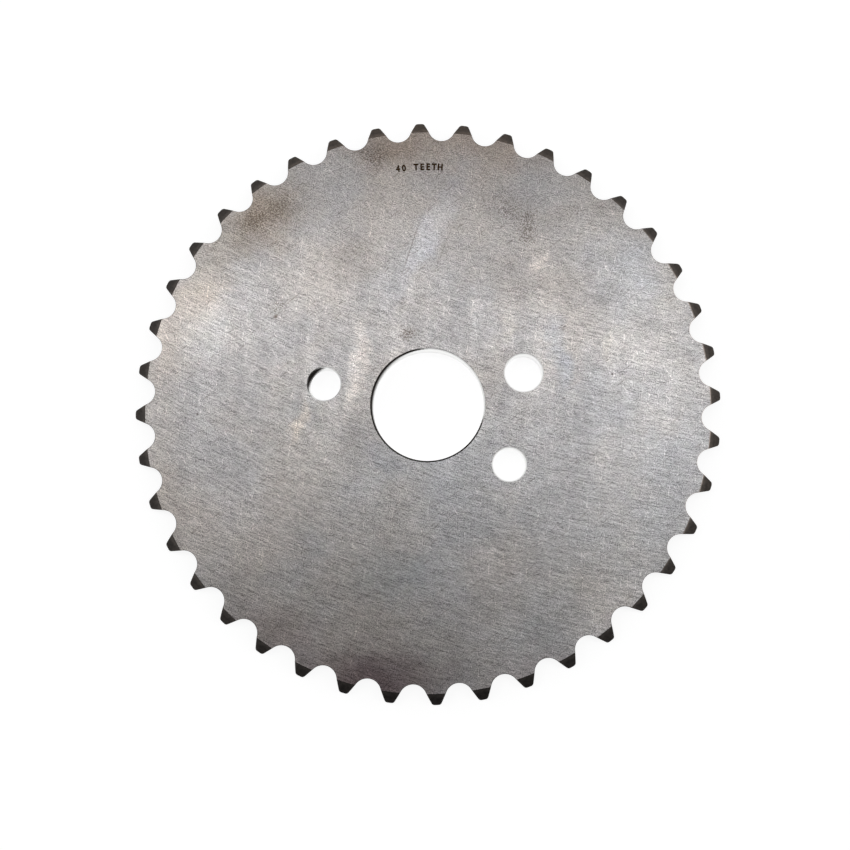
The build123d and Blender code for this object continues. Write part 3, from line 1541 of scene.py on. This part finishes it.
@dataclass(frozen=True)
class Studio:
    """The pale floor, the lamps and the room that the gear is lit in."""

    floor_radius: float = 4.0
    floor_corners: int = 96
    floor_drop: float = 0.02 * MM
    floor_glow: float = 0.875
    floor_paint: float = 0.26
    plain_paint: float = 0.8
    wall_level: float = 0.9
    ceiling_level: float = 0.208
    ceiling_edge: tuple[float, float] = (0.15, 0.9)
    viewer_shade: float = 0.75
    viewer_height: tuple[float, float] = (0.3, 0.5)
    viewer_depth: tuple[float, float] = (0.1, -0.7)
    lamps: tuple[Lamp, ...] = (
        Lamp("ceiling_strip", (0.2, 0.141, 0.9), (1.68, 0.16), power=2.65, turn=-10.2),
        Lamp("left_window", (-0.536, 0.0, 0.9), (0.15, 0.15), power=0.244),
    )

    def build(self) -> None:
        """Builds the floor, the room and the lamps."""
        self._floor()
        self._room()
        for lamp in self.lamps:
            lamp.hang()

    def _floor(self) -> None:
        """Lays the floor under the gear."""
        turns = np.linspace(0, 2 * math.pi, self.floor_corners, endpoint=False)
        points = [(*(self.floor_radius * unit(turn)), 0.0) for turn in turns]
        mesh = bpy.data.meshes.new("floor")
        mesh.from_pydata(points, [], [tuple(range(len(points)))])
        mesh.materials.append(self._paint())
        floor = bpy.data.objects.new("floor", mesh)
        floor.location.z = -self.floor_drop
        bpy.context.scene.collection.objects.link(floor)

    def _paint(self) -> bpy.types.Material:
        """Makes the floor's paint, which looks white and keeps the gear's soft shadow.

        Returns:
            A material that glows a little where it is seen, and lights the gear as plain paint does.
        """
        bench = NodeBench("floor_paint")
        seen = bench.add("LightPath")
        direct = bench.number("ADD", seen.outputs["Is Camera Ray"], seen.outputs["Is Glossy Ray"])
        direct = bench.number("ADD", direct, seen.outputs["Is Transmission Ray"], clamp=True)
        plain = bench.add("BsdfDiffuse")
        bench.feed(plain.inputs["Color"], (self.plain_paint,) * 3)
        paint = bench.add("BsdfDiffuse")
        bench.feed(paint.inputs["Color"], (self.floor_paint,) * 3)
        glow = bench.add("Emission")
        bench.feed(glow.inputs["Strength"], self.floor_glow)
        shown = bench.add("AddShader")
        bench.feed(shown.inputs[0], paint.outputs[0])
        bench.feed(shown.inputs[1], glow.outputs[0])
        choice = bench.add("MixShader")
        bench.feed(choice.inputs[0], direct)
        bench.feed(choice.inputs[1], plain.outputs[0])
        bench.feed(choice.inputs[2], shown.outputs[0])
        bench.feed(bench.add("OutputMaterial").inputs["Surface"], choice.outputs[0])
        return bench.material

    def _room(self) -> None:
        """Lights the room: pale walls, a dim ceiling and the viewer's dark figure on the near side."""
        world = bpy.data.worlds.new("room")
        bpy.context.scene.world = world
        world.use_nodes = True
        bench = NodeBench("room", world.node_tree)
        _, depth, height = bench.parts(bench.add("TexCoord").outputs["Generated"])
        level = bench.spread(height, *self.ceiling_edge, self.wall_level, self.ceiling_level)
        figure = bench.number(
            "MULTIPLY",
            bench.spread(height, *self.viewer_height),
            bench.spread(depth, *self.viewer_depth, 0.0, self.viewer_shade),
        )
        lit = bench.number("MULTIPLY", level, bench.number("SUBTRACT", 1.0, figure))
        glow = bench.add("Background")
        bench.feed(glow.inputs["Color"], (1.0, 1.0, 1.0))
        bench.feed(glow.inputs["Strength"], lit)
        bench.feed(bench.add("OutputWorld").inputs["Surface"], glow.outputs[0])


@dataclass(frozen=True)
class Viewpoint:
    """The camera, close above the gear and a little nearer its lower edge."""

    spot: tuple[float, float, float] = (7.95 * MM, -22.85 * MM, 193.70 * MM)
    aim: tuple[float, float, float] = (7.50 * MM, -4.42 * MM, 4.30 * MM)
    roll: float = 0.1
    lens: float = 38.12
    sensor: float = 36.0
    shift: tuple[float, float] = (-0.0449, 0.0005)
    nearest: float = 0.01

    def build(self) -> None:
        """Places the camera and makes it the scene's own."""
        camera = bpy.data.cameras.new("viewpoint")
        camera.lens = self.lens
        camera.sensor_width = self.sensor
        camera.sensor_fit = "HORIZONTAL"
        camera.shift_x, camera.shift_y = self.shift
        camera.clip_start = self.nearest
        holder = bpy.data.objects.new("viewpoint", camera)
        ahead = (Vector(self.aim) - Vector(self.spot)).normalized()
        rightward = ahead.cross(Vector((0, 1, 0))).normalized()
        upward = rightward.cross(ahead)
        turned = Matrix.Rotation(math.radians(self.roll), 3, ahead)
        axes = Matrix((turned @ rightward, turned @ upward, -ahead)).transposed()
        holder.matrix_world = Matrix.Translation(self.spot) @ axes.to_4x4()
        bpy.context.scene.collection.objects.link(holder)
        bpy.context.scene.camera = holder


def read_holes() -> list[RoundHole]:
    """Reads the plate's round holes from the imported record.

    Returns:
        The bore and the flange holes, each with the kind of wall that it has.
    """
    kinds = {"bore": Surface.BORE, "left_bolt_hole": Surface.OILY_HOLE}
    holes = []
    for mount in frame["record"]["mounts"]:
        if mount["kind"] == "bore":
            x, y, _ = mount["pos_m"]
            edge_break = (PLATE_THICKNESS - mount["dims"]["length_mm"] * MM) / 2
            kind = kinds.get(mount["name"], Surface.CLEAN_HOLE)
            holes.append(RoundHole((x, y), mount["dims"]["r_mm"] * MM, kind, edge_break))
    return holes


def make_finishes(bevel_start: float) -> dict[Surface, bpy.types.Material]:
    """Makes the gear's finishes.

    Args:
        bevel_start: Radius at which the bevels leave the ground faces.

    Returns:
        One material for each kind of surface.
    """
    cut = CutSteel(
        "cut_flanks",
        dark=(0.040, 0.036, 0.033),
        light=(0.062, 0.054, 0.049),
        roughness=0.42,
        painted_shading=BEVEL_PAINTED_SHADING,
        crease_radius=bevel_start,
    )
    # The bore and the left bolt hole get painted shade on one side of the wall and along part of the front
    # rim
    bore = HoleWall(
        "bore_wall",
        side_shade=PaintedSideShade(side=(0.966, -0.26), start=0.98, full=1.8, depth_share=0.8),
        rim=PaintedRimShade(side=(0.766, 0.643), start=-0.48, full=-0.33, width=0.34),
    )
    painted_shade_hole = HoleWall(
        "painted_shade_hole_wall",
        side_shade=PaintedSideShade(side=(0.82, -0.57), start=0.86, full=1.2, depth_share=0.5),
        rim=PaintedRimShade(side=(0.996, 0.087), start=0.55, full=0.75, width=0.24),
    )
    mark = CutSteel("etched_mark", dark=(0.045, 0.026, 0.014), light=(0.075, 0.046, 0.027), roughness=0.6)
    return {
        Surface.FACE: GroundFace().make(),
        Surface.CUT: cut.make(),
        Surface.BORE: bore.make(),
        Surface.OILY_HOLE: painted_shade_hole.make(),
        Surface.CLEAN_HOLE: HoleWall("clean_hole_wall").make(),
        Surface.MARK: mark.make(),
    }


def main() -> None:
    """Builds the gear, the studio and the camera in order."""
    logging.basicConfig(level=logging.INFO, format="%(name)s: %(message)s")
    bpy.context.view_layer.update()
    bpy.context.scene.view_settings.view_transform = "Standard"

    plate = GearPlate(ToothForm(), read_holes(), EtchedMark(), PLATE_THICKNESS)
    gear = plate.build()
    plate.dress(gear, make_finishes(plate.teeth.bevel_start))
    log.info("gear plate: %d faces", len(gear.data.polygons))

    studio = Studio()
    studio.build()
    log.info("studio: floor, room and %d lamps", len(studio.lamps))

    Viewpoint().build()
    log.info("camera is in place")


if __name__ == "__main__":
    main()
